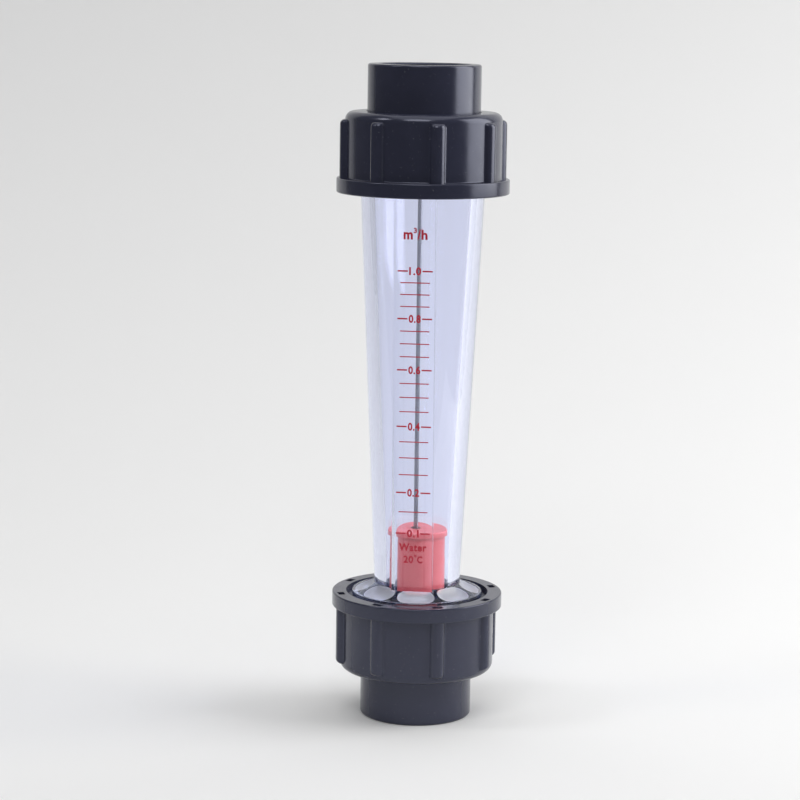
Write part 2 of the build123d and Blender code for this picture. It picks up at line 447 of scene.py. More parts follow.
@dataclass(frozen=True)
class Ink:
    """Printed ink, a little uneven."""

    name: str
    colour: Colour
    thin: Colour
    roughness: float = 0.45
    blot_size: float = 0.3 * MM
    blot_span: tuple[float, float] = (0.35, 0.65)

    def build(self) -> bpy.types.Material:
        """Make the material, paler where the ink is thin.

        Returns:
            The material.
        """
        tree = NodeTree(self.name)
        tree.set(roughness=self.roughness)
        blots = tree.spread(tree.noise(self.blot_size), self.blot_span, (0, 1))
        tree.link(tree.blend(blots, self.thin, self.colour), tree.shader.inputs["Base Color"])
        return tree.material


FINISHES = {
    Slot.CLEAR: Clear(),
    Slot.GREY: Moulded(
        "dark_grey_moulding",
        colour=(0.028, 0.03, 0.052),
        shade=(0.025, 0.027, 0.047),
        roughness=(0.17, 0.23),
        grain_depth=0.001 * MM,
        dust=(0.25, 0.25, 0.27),
        dust_level=(0.77, 0.79),
        specular=0.65,
        tint=(0.8, 0.83, 1.0),
    ),
    Slot.RED: Moulded(
        "red_moulding",
        colour=(0.76, 0.132, 0.127),
        shade=(0.68, 0.11, 0.105),
        roughness=(0.3, 0.42),
    ),
    Slot.WHITE: Moulded(
        "white_moulding",
        colour=(0.78, 0.78, 0.76),
        shade=(0.7, 0.7, 0.67),
        roughness=(0.35, 0.5),
    ),
    # Bush: dark red-brown, darkened to match the shade at the rod's foot, so its colour is partly painted
    # shade.
    Slot.BUSH: Moulded(
        "bush_plastic",
        colour=(0.2, 0.05, 0.04),
        shade=(0.16, 0.04, 0.03),
        roughness=(0.45, 0.6),
    ),
    Slot.STAINLESS: Metal(
        "drawn_stainless",
        colour=(0.36, 0.36, 0.37),
        shade=(0.28, 0.28, 0.29),
        roughness=(0.24, 0.34),
    ),
    Slot.STEEL: Metal(
        "turned_steel",
        colour=(0.42, 0.41, 0.4),
        shade=(0.3, 0.29, 0.28),
        roughness=(0.3, 0.45),
        lines=(40, 40, 1),
    ),
    Slot.RUBBER: Moulded(
        "black_rubber",
        colour=(0.025, 0.025, 0.025),
        shade=(0.018, 0.018, 0.018),
        roughness=(0.5, 0.7),
        specular=0.35,
    ),
}
RED_INK = Ink("red_ink", colour=(0.56, 0.01, 0.035), thin=(0.62, 0.03, 0.055))


class Workshop:
    """Turns meshes into finished pieces that ride on the frame."""

    def __init__(self) -> None:
        """Make every finish once."""
        self.materials = {slot: finish.build() for slot, finish in FINISHES.items()}

    def finish(
        self,
        shape: bmesh.types.BMesh,
        name: str,
        body: str,
        slot: Slot | None,
        material: bpy.types.Material | None = None,
    ) -> bpy.types.Object:
        """Make a piece of a mesh and fasten it to its body.

        Args:
            shape: The finished shape, in place. It is used up.
            name: Name of the piece.
            body: Body of the frame that it rides on.
            slot: Material slot that it takes its finish from, or None.
            material: Its finish, where it has no slot.

        Returns:
            The piece.
        """
        piece = as_object(shape, name)
        even_normals(piece)
        piece.data.materials.append(material or self.materials[slot])
        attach(piece, body)
        log.info("%s: %d faces on body %s", name, len(piece.data.polygons), body)
        return piece

    def dress(self) -> None:
        """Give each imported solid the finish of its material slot."""
        for part in frame["record"]["subparts"]:
            node = frame["nodes"][part["node"]]
            slot = Slot(part["material_slot"])
            node.data.materials.clear()
            node.data.materials.append(self.materials[slot])
            log.info("%s: %s", node.name, slot.value)


def as_object(shape: bmesh.types.BMesh, name: str) -> bpy.types.Object:
    """Make an object of a mesh, smooth but for its sharp edges.

    Args:
        shape: The mesh. It is used up.
        name: Name of the object.

    Returns:
        The object, at the origin.
    """
    mesh = bpy.data.meshes.new(name)
    shape.to_mesh(mesh)
    shape.free()
    mesh.shade_smooth()
    mesh.set_sharp_from_angle(angle=SHARP)
    made = bpy.data.objects.new(name, mesh)
    bpy.context.scene.collection.objects.link(made)
    return made


def even_normals(piece: bpy.types.Object) -> None:
    """Turn the shading normals to the larger faces, so that flats stay flat beside rounds.

    Args:
        piece: The object whose mesh is replaced.
    """
    modifier = piece.modifiers.new("even", "WEIGHTED_NORMAL")
    modifier.keep_sharp = True
    bpy.context.view_layer.update()
    old = piece.data
    piece.data = bpy.data.meshes.new_from_object(piece.evaluated_get(bpy.context.evaluated_depsgraph_get()))
    piece.modifiers.clear()
    piece.data.name = piece.name
    bpy.data.meshes.remove(old)


def wire(points: Iterable[tuple[float, float]], closed: bool = True) -> bmesh.types.BMesh:
    """Draw a profile in the XZ plane.

    Args:
        points: Radius and height of each corner, in metres.
        closed: Whether the last corner joins the first.

    Returns:
        A mesh of edges.
    """
    shape = bmesh.new()
    corners = [shape.verts.new((radius, 0, height)) for radius, height in points]
    for first, second in zip(corners, corners[1:]):
        shape.edges.new((first, second))
    if closed:
        shape.edges.new((corners[-1], corners[0]))
    return shape


def round_corners(
    shape: bmesh.types.BMesh, corners: Iterable[bmesh.types.BMVert], radius: float, segments: int
) -> None:
    """Round corners of a profile.

    Args:
        shape: The profile.
        corners: The corners that are rounded.
        radius: Size of the round.
        segments: Number of edges in each round.
    """
    bmesh.ops.bevel(
        shape,
        geom=list(corners),
        offset=radius,
        offset_type="OFFSET",
        segments=segments,
        profile=0.5,
        affect="VERTICES",
        material=-1,
    )


def turn(shape: bmesh.types.BMesh, steps: int, angle: float = 2 * math.pi, centre: Vector = ORIGIN) -> None:
    """Revolve all edges about an upright axis.

    Args:
        shape: The profile.
        steps: Number of steps.
        angle: How far to turn.
        centre: A point on the axis.
    """
    bmesh.ops.spin(
        shape,
        geom=shape.verts[:] + shape.edges[:],
        cent=centre,
        axis=Z_AXIS,
        angle=angle,
        steps=steps,
        use_merge=math.isclose(abs(angle), 2 * math.pi),
    )
    bmesh.ops.remove_doubles(shape, verts=shape.verts, dist=MERGE)
    bmesh.ops.recalc_face_normals(shape, faces=shape.faces)


def join(base: bmesh.types.BMesh, other: bmesh.types.BMesh) -> None:
    """Add one mesh to another.

    Args:
        base: The mesh that grows.
        other: The mesh that is added. It is used up.
    """
    mesh = bpy.data.meshes.new("joined")
    other.to_mesh(mesh)
    other.free()
    base.from_mesh(mesh)
    bpy.data.meshes.remove(mesh)


def combine(base: bmesh.types.BMesh, tool: bmesh.types.BMesh, operation: str) -> bmesh.types.BMesh:
    """Join a closed shape to another, or cut it away.

    Args:
        base: The shape that stays. It is used up.
        tool: The other shape. It is used up.
        operation: UNION or DIFFERENCE.

    Returns:
        The result.
    """
    body = as_object(base, "base")
    other = as_object(tool, "tool")
    modifier = body.modifiers.new("combine", "BOOLEAN")
    modifier.operation = operation
    modifier.object = other
    modifier.solver = "EXACT"
    bpy.context.view_layer.update()
    made = bpy.data.meshes.new_from_object(body.evaluated_get(bpy.context.evaluated_depsgraph_get()))
    result = bmesh.new()
    result.from_mesh(made)
    for used in (body, other):
        mesh = used.data
        bpy.data.objects.remove(used)
        bpy.data.meshes.remove(mesh)
    bpy.data.meshes.remove(made)
    return result


@dataclass
class Thread:
    """A ridge of the union thread, right-handed, about the Z axis."""

    low: float
    high: float
    root: float
    crest: float
    root_width: float
    crest_width: float
    phase: float = 0.0
    pitch: float = 2.309 * MM
    steps_in_turn: int = 90
    run_out: float = math.radians(50)

    def build(self) -> bmesh.types.BMesh:
        """Make the ridge, which fades into its root at both ends.

        Returns:
            A closed mesh.
        """
        turns = (self.high - self.low - self.root_width) / self.pitch
        start = self.low + self.root_width / 2
        start += (self.phase * self.pitch - start) % self.pitch
        steps = round(turns * self.steps_in_turn)
        shape = wire(
            (
                (self.root, start - self.root_width / 2),
                (self.crest, start - self.crest_width / 2),
                (self.crest, start + self.crest_width / 2),
                (self.root, start + self.root_width / 2),
            )
        )
        first = bmesh.ops.contextual_create(shape, geom=shape.edges[:])["faces"]
        bmesh.ops.spin(
            shape,
            geom=first,
            cent=ORIGIN,
            axis=Z_AXIS,
            dvec=Z_AXIS * self.pitch / self.steps_in_turn,
            angle=2 * math.pi * steps / self.steps_in_turn,
            steps=steps,
        )
        bmesh.ops.remove_doubles(shape, verts=shape.verts, dist=MERGE)
        self.fade(shape, start, steps)
        bmesh.ops.recalc_face_normals(shape, faces=shape.faces)
        log.info("thread: %.1f turns, %d faces", turns, len(shape.faces))
        return shape

    def fade(self, shape: bmesh.types.BMesh, start: float, steps: int) -> None:
        """Sink the crest towards the root near both ends.

        Args:
            shape: The ridge.
            start: Height of the ridge's middle where it starts.
            steps: Number of steps of the spin.
        """
        whole = 2 * math.pi * steps / self.steps_in_turn
        for corner in shape.verts:
            radius = corner.co.xy.length
            turned = (corner.co.z - start) / self.pitch * 2 * math.pi
            inside = min(max(turned, 0), max(whole - turned, 0)) / self.run_out
            share = min(1.0, inside)
            wanted = self.root + (radius - self.root) * share
            corner.co.xy *= wanted / radius


@dataclass(frozen=True)
class ClearTube(TubeOutside):
    """The clear moulding: threaded ends, tapered wall, flared foot with bowls, and flat scale panel."""

    end: float = 27.2 * MM
    seat: float = 31.4 * MM
    seat_r: float = 18.55 * MM
    root_r: float = 22.9 * MM
    collar_r: float = 23.75 * MM
    collar_under: float = 43.6 * MM
    inlet_r: float = 11.4 * MM
    outlet_r: float = 17.55 * MM
    taper_start: float = 60.1 * MM
    edge_round: float = 0.25 * MM
    edge_segments: int = 3
    steps: int = 288
    ridge_root: float = 1.9 * MM
    ridge_crest: float = 0.5 * MM
    ridge_bury: float = 0.05 * MM
    ridge_above_end: float = 1 * MM
    ridge_below_collar: float = 0.4 * MM
    panel_width: float = 15 * MM
    panel_proud: float = 0.8 * MM
    panel_embed: float = 3.75 * MM
    panel_foot: float = 2.8 * MM
    panel_round: float = 0.3 * MM
    panel_segments: int = 4
    bowls: int = 8
    bowl_turn: float = math.radians(5.9 - 90)
    bowl_arc: float = math.radians(18.4)
    bowl_mid_r: float = 20.85 * MM
    bowl_r: float = 5.5 * MM
    bowl_clear_r: float = 16 * MM
    bowl_depth: float = 0.4 * MM
    bowl_steps: int = 64
    trough_steps: int = 16
    cap_steps: int = 32

    def wall(self) -> bmesh.types.BMesh:
        """Revolve the moulding's section.

        Returns:
            A closed mesh.
        """
        top = self.length
        chamfer = self.collar_r - self.root_r
        section = wire(
            (
                (self.seat_r, self.end),
                (self.root_r, self.end),
                (self.root_r, self.collar_under),
                (self.collar_r, self.collar_under + chamfer),
                (self.collar_r, self.collar_top),
                (self.flare_r, self.collar_top),
                (self.cone_r(self.flare_top), self.flare_top),
                (self.cone_top_r, top - self.collar_top),
                (self.collar_r, top - self.collar_top),
                (self.collar_r, top - self.collar_under - chamfer),
                (self.root_r, top - self.collar_under),
                (self.root_r, top - self.end),
                (self.seat_r, top - self.end),
                (self.seat_r, top - self.seat),
                (self.outlet_r, top - self.seat),
                (self.outlet_r, top - self.collar_top),
                (self.inlet_r, self.taper_start),
                (self.inlet_r, self.seat),
                (self.seat_r, self.seat),
            )
        )
        round_corners(section, section.verts, self.edge_round, self.edge_segments)
        turn(section, self.steps)
        return section

    def panel(self) -> bmesh.types.BMesh:
        """Make the flat panel as a leaning bar.

        Returns:
            A closed mesh.
        """
        bottom = self.collar_top + self.panel_foot
        height = self.length - self.collar_top - bottom
        depth = self.panel_proud + self.panel_embed
        bar = bmesh.new()
        bmesh.ops.create_cube(bar, size=1)
        bmesh.ops.scale(bar, vec=(self.panel_width, depth, height), verts=bar.verts)
        front = [e for e in bar.edges if all(v.co.y < 0 for v in e.verts)]
        upright = [e for e in front if abs(e.verts[0].co.z - e.verts[1].co.z) > height / 2]
        bmesh.ops.bevel(
            bar,
            geom=upright,
            offset=self.panel_round,
            segments=self.panel_segments,
            profile=0.5,
            affect="EDGES",
            material=-1,
        )
        bmesh.ops.translate(bar, vec=(0, depth / 2 - self.panel_proud, bottom + height / 2), verts=bar.verts)
        bmesh.ops.transform(bar, matrix=self.lean(), verts=bar.verts)
        return bar

    def lean(self) -> Matrix:
        """Lean a part of the panel, drawn upright at y = 0, against the front of the cone.

        Returns:
            The matrix that does it.
        """
        lean = Matrix.Identity(4)
        lean[1][2] = -self.slope
        lean[1][3] = -self.cone_r(0)
        return lean

    def bowl(self, number: int) -> bmesh.types.BMesh:
        """Make the cutter of one scooped bowl, a round trough with round ends.

        Args:
            number: Which bowl, counted counter-clockwise.

        Returns:
            A closed mesh.
        """
        middle = Vector((self.bowl_mid_r, 0, self.collar_top - self.bowl_depth + self.bowl_r))
        trough = self.ring(middle)
        turn(trough, self.trough_steps, self.bowl_arc)
        for place, side in ((0.0, -1), (self.bowl_arc, 1)):
            cap = self.ring(middle)
            inner = [v for v in cap.verts if v.co.x < middle.x - MERGE]
            bmesh.ops.delete(cap, geom=inner, context="VERTS")
            turn(cap, self.cap_steps, side * math.pi, Vector((middle.x, 0, 0)))
            bmesh.ops.rotate(cap, cent=ORIGIN, matrix=Matrix.Rotation(place, 3, "Z"), verts=cap.verts)
            join(trough, cap)
        bmesh.ops.remove_doubles(trough, verts=trough.verts, dist=MERGE)
        # Above the flare, the cutter keeps clear of the tapered wall.
        for corner in trough.verts:
            radius = corner.co.xy.length
            if corner.co.z > self.flare_top and radius < self.bowl_clear_r:
                corner.co.xy *= self.bowl_clear_r / radius
        bmesh.ops.recalc_face_normals(trough, faces=trough.faces)
        around = self.bowl_turn + 2 * math.pi * number / self.bowls - self.bowl_arc / 2
        bmesh.ops.rotate(trough, cent=ORIGIN, matrix=Matrix.Rotation(around, 3, "Z"), verts=trough.verts)
        return trough

    def ring(self, middle: Vector) -> bmesh.types.BMesh:
        """Draw the bowl's round section, upright in the XZ plane.

        Args:
            middle: Its middle.

        Returns:
            A mesh of edges.
        """
        section = bmesh.new()
        place = Matrix.Translation(middle) @ Matrix.Rotation(math.pi / 2, 4, "X")
        bmesh.ops.create_circle(section, segments=self.bowl_steps, radius=self.bowl_r, matrix=place)
        return section

    def threads(self) -> list[Thread]:
        """Size the two male threads.

        Returns:
            The lower and the upper thread.
        """
        ridge = {
            "root": self.root_r - self.ridge_bury,
            "crest": self.collar_r,
            "root_width": self.ridge_root,
            "crest_width": self.ridge_crest,
        }
        low, high = self.end + self.ridge_above_end, self.collar_under - self.ridge_below_collar
        return [
            Thread(low=low, high=high, **ridge),
            Thread(low=self.length - high, high=self.length - low, **ridge),
        ]

    def build(self, workshop: Workshop) -> bpy.types.Object:
        """Make the tube in one piece.

        Args:
            workshop: Where pieces are finished.

        Returns:
            The piece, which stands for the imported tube.
        """
        shape = self.wall()
        for number in range(self.bowls):
            shape = combine(shape, self.bowl(number), "DIFFERENCE")
        shape = combine(shape, self.panel(), "UNION")
        for thread in self.threads():
            shape = combine(shape, thread.build(), "UNION")
        piece = workshop.finish(shape, "clear_tube", "meter", Slot.CLEAR)
        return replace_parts(piece, "metering_tube")


@dataclass
class UnionNut:
    """A union nut with soft grip ribs and a core pit behind each rib. Heights are the lower nut's."""

    length: float = LENGTH
    bottom: float = 16.9 * MM
    rim: float = 45.9 * MM
    hole_r: float = 20.6 * MM
    body_r: float = 28.2 * MM
    bore_r: float = 24.1 * MM
    floor_top: float = 20.9 * MM
    flange_r: float = 31.1 * MM
    flange_height: float = 5.3 * MM
    mouth_r: float = 26 * MM
    mouth_depth: float = 4 * MM
    mouth_chamfer: float = 1.2 * MM
    shoulder_round: float = 3 * MM
    shoulder_segments: int = 8
    edge_round: float = 0.5 * MM
    edge_segments: int = 4
    overshoot: float = 5 * MM
    ribs: int = 8
    rib_outer_r: float = 30.3 * MM
    rib_root: float = 5.4 * MM
    rib_top: float = 4.4 * MM
    rib_end: float = 2.8 * MM
    rib_round: float = 1.8 * MM
    root_round: float = 0.9 * MM
    rib_segments: int = 5
    rib_slices: int = 6
    rib_turn: dict[End, float] = field(
        default_factory=lambda: {End.LOWER: math.radians(22.3), End.UPPER: math.radians(16.9)}
    )
    bare_steps: int = 16
    least_bend: float = math.radians(29)
    bury: float = 0.02 * MM
    pit_r: float = 28.55 * MM
    pit: Point = (2.4 * MM, 3.8 * MM, 3.5 * MM)
    steps: int = 288

    def outside(self) -> bmesh.types.BMesh:
        """Revolve the outside, without ribs, down to the axis.

        Returns:
            A closed mesh.
        """
        under = self.rim - self.flange_height
        section = wire(
            (
                (0, self.bottom),
                (self.body_r, self.bottom),
                (self.body_r, under),
                (self.flange_r, under),
                (self.flange_r, self.rim),
                (0, self.rim),
            ),
            closed=False,
        )
        section.verts.ensure_lookup_table()
        shoulder, flange = section.verts[1:2], section.verts[2:5]
        round_corners(section, shoulder, self.shoulder_round, self.shoulder_segments)
        round_corners(section, flange, self.edge_round, self.edge_segments)
        turn(section, self.steps)
        return section

    def inside(self) -> bmesh.types.BMesh:
        """Revolve the cavity, which runs past both open ends.

        Returns:
            A closed mesh.
        """
        floor = self.rim - self.mouth_depth
        below, above = self.bottom - self.overshoot, self.rim + self.overshoot
        section = wire(
            (
                (0, below),
                (self.hole_r, below),
                (self.hole_r, self.floor_top),
                (self.bore_r, self.floor_top),
                (self.bore_r, floor),
                (self.mouth_r, floor + self.mouth_chamfer),
                (self.mouth_r, above),
                (0, above),
            ),
            closed=False,
        )
        turn(section, self.steps)
        return section

    def outline(self) -> bmesh.types.BMesh:
        """Draw the ribs' outline, a circle with eight soft bumps.

        Returns:
            A mesh of edges at the ribs' lower ends.
        """
        height = self.bottom + self.rib_end
        circle_r = self.body_r - self.bury
        half = self.rib_root / 2
        root_x = math.sqrt(circle_r**2 - half**2)
        bump = bmesh.new()
        corners = [
            bump.verts.new(place)
            for place in (
                (root_x, -half, height),
                (self.rib_outer_r, -self.rib_top / 2, height),
                (self.rib_outer_r, self.rib_top / 2, height),
                (root_x, half, height),
            )
        ]
        for pair in zip(corners, corners[1:]):
            bump.edges.new(pair)
        bare = 2 * math.pi / self.ribs - 2 * math.asin(half / circle_r)
        bmesh.ops.spin(
            bump, geom=[corners[-1]], cent=ORIGIN, axis=Z_AXIS, angle=bare, steps=self.bare_steps
        )
        bmesh.ops.spin(
            bump,
            geom=bump.verts[:] + bump.edges[:],
            cent=ORIGIN,
            axis=Z_AXIS,
            angle=2 * math.pi * (self.ribs - 1) / self.ribs,
            steps=self.ribs - 1,
            use_duplicate=True,
        )
        bmesh.ops.remove_doubles(bump, verts=bump.verts, dist=MERGE)
        tops = [v for v in bump.verts if v.co.xy.length > self.rib_outer_r]
        roots = [v for v in bump.verts if v not in tops and v.calc_edge_angle(0) > self.least_bend]
        round_corners(bump, tops, self.rib_round, self.rib_segments)
        round_corners(bump, roots, self.root_round, self.rib_segments)
        return bump

    def rib_block(self) -> bmesh.types.BMesh:
        """Raise the outline into a block whose lower rim is round.

        Returns:
            A closed mesh.
        """
        block = self.outline()
        face = bmesh.ops.contextual_create(block, geom=block.edges[:])["faces"][0]
        low = self.bottom + self.rib_end
        top = self.rim - self.flange_height / 2
        angles = [math.pi / 2 * i / self.rib_slices for i in range(self.rib_slices + 1)]
        heights = [low + self.rib_round * (1 - math.cos(angle)) for angle in angles] + [top]
        sizes = [1 - self.rib_round * (1 - math.sin(angle)) / self.rib_outer_r for angle in angles] + [1]
        bmesh.ops.scale(block, vec=(sizes[0], sizes[0], 1), verts=block.verts)
        for i in range(1, len(heights)):
            made = bmesh.ops.extrude_face_region(block, geom=[face])["geom"]
            if i > 1:
                bmesh.ops.delete(block, geom=[face], context="FACES_ONLY")
            face = next(g for g in made if isinstance(g, bmesh.types.BMFace))
            grow = sizes[i] / sizes[i - 1]
            bmesh.ops.scale(block, vec=(grow, grow, 1), verts=face.verts)
            bmesh.ops.translate(block, vec=(0, 0, heights[i] - heights[i - 1]), verts=face.verts)
        bmesh.ops.recalc_face_normals(block, faces=block.faces)
        return block

    def pits(self) -> bmesh.types.BMesh:
        """Make the cutters of the core pits.

        Returns:
            A mesh of eight boxes.
        """
        boxes = bmesh.new()
        made = bmesh.ops.create_cube(boxes, size=1)["verts"]
        radial, across, deep = self.pit
        bmesh.ops.scale(boxes, vec=(radial, across, 2 * deep), verts=made)
        bmesh.ops.translate(boxes, vec=(self.pit_r, 0, self.rim), verts=made)
        bmesh.ops.spin(
            boxes,
            geom=boxes.verts[:] + boxes.edges[:] + boxes.faces[:],
            cent=ORIGIN,
            axis=Z_AXIS,
            angle=2 * math.pi * (self.ribs - 1) / self.ribs,
            steps=self.ribs - 1,
            use_duplicate=True,
        )
        return boxes

    def build(self, workshop: Workshop, end: End) -> bpy.types.Object:
        """Make the nut of one end.

        Args:
            workshop: Where pieces are finished.
            end: Which end.

        Returns:
            The piece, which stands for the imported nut.
        """
        shape = combine(self.outside(), self.rib_block(), "UNION")
        shape = combine(shape, self.inside(), "DIFFERENCE")
        shape = combine(shape, self.pits(), "DIFFERENCE")
        place = Matrix.Rotation(self.rib_turn[end], 4, "Z")
        if end is End.UPPER:
            place = place @ Matrix.Translation((0, 0, self.length)) @ Matrix.Rotation(math.pi, 4, "X")
        bmesh.ops.transform(shape, matrix=place, verts=shape.verts)
        piece = workshop.finish(shape, f"{end.value}_nut_moulding", f"{end.value}_nut", Slot.GREY)
        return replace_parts(piece, f"{end.value}_union_nut")


@dataclass
class NutThreads:
    """Female threads of the two union nuts, half a pitch from the tube's ridges."""

    nut: UnionNut
    above_floor: float = 6 * MM
    below_mouth: float = 0.2 * MM
    ridge_height: float = 0.9 * MM
    ridge_root: float = 1.8 * MM
    ridge_crest: float = 0.4 * MM
    ridge_bury: float = 0.05 * MM
    phase: float = 0.5

    def build(self, workshop: Workshop, end: End) -> bpy.types.Object:
        """Make the thread of one end.

        Args:
            workshop: Where pieces are finished.
            end: Which end.

        Returns:
            The piece.
        """
        low = self.nut.floor_top + self.above_floor
        high = self.nut.rim - self.nut.mouth_depth - self.below_mouth
        if end is End.UPPER:
            low, high = self.nut.length - high, self.nut.length - low
        ridge = Thread(
            low=low,
            high=high,
            root=self.nut.bore_r + self.ridge_bury,
            crest=self.nut.bore_r - self.ridge_height,
            root_width=self.ridge_root,
            crest_width=self.ridge_crest,
            phase=self.phase,
        )
        return workshop.finish(ridge.build(), f"{end.value}_nut_thread", f"{end.value}_nut", Slot.GREY)


class Weight(Enum):
    """Weights of a printed line, as heights in metres."""

    MAJOR = 0.54 * MM
    MINOR = 0.37 * MM


@dataclass(frozen=True)
class Word:
    """Printed characters, with the place of their middle and their size."""

    text: str
    aside: float
    height: float
    width: float
    tall: float


@dataclass
class Scale:
    """The scale printed on the panel, in cubic metres of water an hour."""

    tube: ClearTube
    zero_height: float = 45.9 * MM
    span: float = 120 * MM
    power: float = 0.686
    step: float = 0.05
    lowest: float = 0.1
    highest: float = 1.0
    steps_a_number: int = 4
    inner_x: float = 2.6 * MM
    major_x: float = 6.2 * MM
    minor_x: float = 5.25 * MM
    digit_size: tuple[float, float] = (4.3 * MM, 2.9 * MM)
    ink: float = 0.02 * MM
    gap: float = 0.01 * MM
    aside: float = 0.33 * MM
    boldness: float = 0.034
    letter_space: float = 1.1
    curve_steps: int = 4
    words: tuple[Word, ...] = (
        Word("m", -2.6 * MM, 178.41 * MM, 3.28 * MM, 2.57 * MM),
        Word("3", -0.08 * MM, 180.34 * MM, 1.15 * MM, 1.93 * MM),
        Word("/", 1.29 * MM, 178.94 * MM, 1.3 * MM, 3.6 * MM),
        Word("h", 3.17 * MM, 178.9 * MM, 2.15 * MM, 3.54 * MM),
        Word("Water", 0, 65.5 * MM, 10.0 * MM, 2.9 * MM),
        Word("20", -1.55 * MM, 61.0 * MM, 3.6 * MM, 2.75 * MM),
        Word("°", 0.95 * MM, 62.3 * MM, 0.95 * MM, 0.95 * MM),
        Word("C", 2.6 * MM, 61.0 * MM, 1.9 * MM, 2.75 * MM),
    )
    flows: list[float] = field(init=False)

    def __post_init__(self) -> None:
        """List the flows that have a line."""
        count = round((self.highest - self.lowest) / self.step) + 1
        self.flows = [round(self.lowest + self.step * i, 2) for i in range(count)]

    def height(self, flow: float) -> float:
        """Height of the float's lip at a flow."""
        return self.zero_height + self.span * flow**self.power

    def numbered(self, flow: float) -> bool:
        """Whether the line of a flow has a number."""
        return flow == self.lowest or round(flow / self.step) % self.steps_a_number == 0

    def to_panel(self, shape: bmesh.types.BMesh) -> None:
        """Carry a flat print, drawn with X across and Y up, to the panel's face.

        Args:
            shape: The print.
        """
        slope = self.tube.slope
        normal = Vector((0, -1, -slope)).normalized()
        place = Matrix.Identity(4)
        place.col[1] = (0, -slope, 1, 0)
        place.col[2] = (*normal, 0)
        place.col[3] = (self.aside, -self.tube.cone_r(0) - self.tube.panel_proud, 0, 1)
        bmesh.ops.transform(shape, matrix=place, verts=shape.verts)

    def line(
        self, shape: bmesh.types.BMesh, left: float, right: float, height: float, weight: Weight
    ) -> None:
        """Add a printed line.

        Args:
            shape: The print.
            left: Its left end.
            right: Its right end.
            height: Height of its middle.
            weight: Its weight.
        """
        made = bmesh.ops.create_cube(shape, size=1)["verts"]
        bmesh.ops.scale(shape, vec=(right - left, weight.value, self.ink), verts=made)
        middle = ((left + right) / 2, height, self.gap + self.ink / 2)
        bmesh.ops.translate(shape, vec=middle, verts=made)

    def write(self, shape: bmesh.types.BMesh, word: Word) -> None:
        """Add printed characters.

        Args:
            shape: The print.
            word: The characters, their place and their size.
        """
        curve = bpy.data.curves.new("word", "FONT")
        curve.body = word.text
        curve.offset = self.boldness
        curve.space_character = self.letter_space
        curve.extrude = 0.5
        curve.resolution_u = self.curve_steps
        text = bpy.data.objects.new("word", curve)
        mesh = bpy.data.meshes.new_from_object(text)
        before = len(shape.verts)
        shape.from_mesh(mesh)
        shape.verts.ensure_lookup_table()
        made = shape.verts[before:]
        for axis, wanted in enumerate((word.width, word.tall, self.ink)):
            low = min(v.co[axis] for v in made)
            high = max(v.co[axis] for v in made)
            for v in made:
                v.co[axis] = (v.co[axis] - (low + high) / 2) * wanted / (high - low)
        bmesh.ops.translate(shape, vec=(word.aside, word.height, self.gap + self.ink / 2), verts=made)
        bpy.data.objects.remove(text)
        bpy.data.curves.remove(curve)
        bpy.data.meshes.remove(mesh)

    def build(self, workshop: Workshop) -> None:
        """Print the lines, the numbers and the words.

        Args:
            workshop: Where pieces are finished.
        """
        ink = RED_INK.build()
        lines, numbers, words = bmesh.new(), bmesh.new(), bmesh.new()
        for flow in self.flows:
            height = self.height(flow)
            if self.numbered(flow):
                self.line(lines, -self.major_x, -self.inner_x, height, Weight.MAJOR)
                self.line(lines, self.inner_x, self.major_x, height, Weight.MAJOR)
                self.write(numbers, Word(f"{flow:.1f}", 0, height, *self.digit_size))
            else:
                self.line(lines, -self.minor_x, self.minor_x, height, Weight.MINOR)
        for word in self.words:
            self.write(words, word)
        for shape, name in ((lines, "scale_lines"), (numbers, "scale_numbers"), (words, "scale_words")):
            self.to_panel(shape)
            workshop.finish(shape, name, "meter", None, ink)


@dataclass(frozen=True)
class Camera:
    """The photograph's viewpoint, fitted to the object's rims and outline."""

    turn: float = math.radians(7.3)
    pitch: float = math.radians(9.015)
    roll: float = math.radians(0.814)
    side: float = -7.17 * MM
    back: float = 925 * MM
    height: float = 263.22 * MM
    lens: float = 115.94
    sensor: float = 36
    clip: tuple[float, float] = (0.01, 100)

    def build(self) -> None:
        """Make the camera and set it as the scene's."""
        data = bpy.data.cameras.new("camera")
        data.lens = self.lens
        data.sensor_width = self.sensor
        data.clip_start, data.clip_end = self.clip
        camera = bpy.data.objects.new("camera", data)
        turned = Matrix.Rotation(self.turn, 4, "Z")
        place = turned @ Matrix.Translation((self.side, -self.back, self.height))
        tilt = Matrix.Rotation(math.pi / 2 - self.pitch, 4, "X")
        camera.matrix_world = place @ tilt @ Matrix.Rotation(self.roll, 4, "Z")
        bpy.context.scene.collection.objects.link(camera)
        bpy.context.scene.camera = camera


@dataclass(frozen=True)
class Softbox:
    """A rectangle of soft light aimed at the meter."""

    name: str
    place: Point
    size: tuple[float, float]
    radiance: float
    target: Point = (0, 0, 0.12)

    def build(self) -> None:
        """Make the lamp."""
        data = bpy.data.lights.new(self.name, "AREA")
        data.shape = "RECTANGLE"
        data.size, data.size_y = self.size
        data.energy = self.radiance * math.pi * self.size[0] * self.size[1]
        lamp = bpy.data.objects.new(self.name, data)
        aim = (Vector(self.target) - Vector(self.place)).to_track_quat("-Z", "Y")
        lamp.matrix_world = Matrix.LocRotScale(Vector(self.place), aim, None)
        lamp.visible_camera = False
        bpy.context.scene.collection.objects.link(lamp)


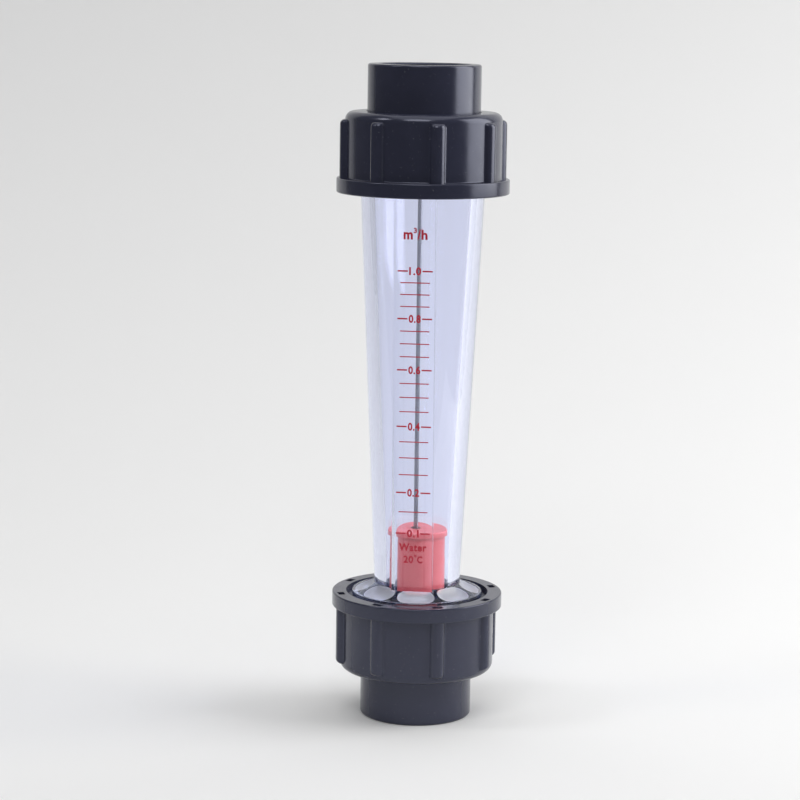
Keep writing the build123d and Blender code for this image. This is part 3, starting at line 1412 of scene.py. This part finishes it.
@dataclass(frozen=True)
class Studio:
    """Pale sweep of paper, soft lamps and a dark room."""

    paper: Colour = (0.84, 0.84, 0.835)
    paper_roughness: float = 0.9
    left: float = -0.9
    right: float = 0.525
    front: float = -0.27
    bend: float = 0.45
    wall: float = 1.4
    bend_round: float = 0.3
    bend_segments: int = 24
    sink: float = 0.05 * MM
    room: Colour = (0.12, 0.12, 0.125)
    lamps: tuple[Softbox, ...] = (
        Softbox("right_softbox", (0.85, 0.12, 0.62), (0.75, 1.0), 3.95, (0, 0.12, 0.62)),
        Softbox("top_softbox", (0.0, -0.1, 1.5), (1.4, 1.4), 1.0),
        Softbox("front_softbox", (-0.1, -1.5, 1.7), (1.2, 0.8), 4.2),
        Softbox("left_softbox", (-1.2, -0.55, 1.3), (0.4, 0.4), 7.0),
    )

    def build(self) -> None:
        """Make the sweep, the lamps and the world."""
        self.sweep()
        for lamp in self.lamps:
            lamp.build()
        self.world()
        bpy.context.scene.view_settings.view_transform = "Standard"

    def sweep(self) -> None:
        """Make the floor that curves up into a wall."""
        paper = bmesh.new()
        rows = ((self.front, -self.sink), (self.bend, -self.sink), (self.bend, self.wall))
        side = [paper.verts.new((self.left, y, z)) for y, z in rows]
        for pair in zip(side, side[1:]):
            paper.edges.new(pair)
        round_corners(paper, [side[1]], self.bend_round, self.bend_segments)
        made = bmesh.ops.extrude_edge_only(paper, edges=paper.edges[:])["geom"]
        across = [v for v in made if isinstance(v, bmesh.types.BMVert)]
        bmesh.ops.translate(paper, vec=(self.right - self.left, 0, 0), verts=across)
        bmesh.ops.recalc_face_normals(paper, faces=paper.faces)
        if min(paper.faces, key=lambda face: face.calc_center_median().z).normal.z < 0:
            bmesh.ops.reverse_faces(paper, faces=paper.faces)
        log.info("sweep: %d faces", len(paper.faces))
        sweep = as_object(paper, "paper_sweep")
        sweep.data.materials.append(self.sheet())

    def sheet(self) -> bpy.types.Material:
        """Make the paper, which can't be seen from below or behind.

        Returns:
            The material.
        """
        tree = NodeTree("pale_paper")
        tree.set(base_color=(*self.paper, 1), roughness=self.paper_roughness)
        side = tree.add("ShaderNodeNewGeometry")
        nothing = tree.add("ShaderNodeBsdfTransparent")
        tree.cover(side.outputs["Backfacing"], tree.shader.outputs[0], nothing.outputs[0])
        return tree.material

    def world(self) -> None:
        """Make the dark room, which shows as pale paper past the sweep's edges and through the tube."""
        world = bpy.data.worlds.new("room")
        world.use_nodes = True
        nodes, links = world.node_tree.nodes, world.node_tree.links
        light = nodes.new("ShaderNodeLightPath")
        seen = nodes.new("ShaderNodeMath")
        seen.operation = "MAXIMUM"
        links.new(light.outputs["Is Camera Ray"], seen.inputs[0])
        links.new(light.outputs["Is Transmission Ray"], seen.inputs[1])
        mix = nodes.new("ShaderNodeMix")
        mix.data_type = "RGBA"
        links.new(seen.outputs[0], mix.inputs["Factor"])
        mix.inputs["A"].default_value = (*self.room, 1)
        mix.inputs["B"].default_value = (*self.paper, 1)
        links.new(mix.outputs["Result"], nodes["Background"].inputs["Color"])
        bpy.context.scene.world = world


def main() -> None:
    """Dress the meter and set it in the studio."""
    logging.basicConfig(level=logging.INFO, format="%(name)s %(message)s")
    workshop = Workshop()
    workshop.dress()
    tube = ClearTube()
    tube.build(workshop)
    nut = UnionNut()
    for end in End:
        nut.build(workshop, end)
    threads = NutThreads(nut)
    for end in End:
        threads.build(workshop, end)
    Scale(tube).build(workshop)
    Camera().build()
    Studio().build()


if __name__ == "__main__":
    main()
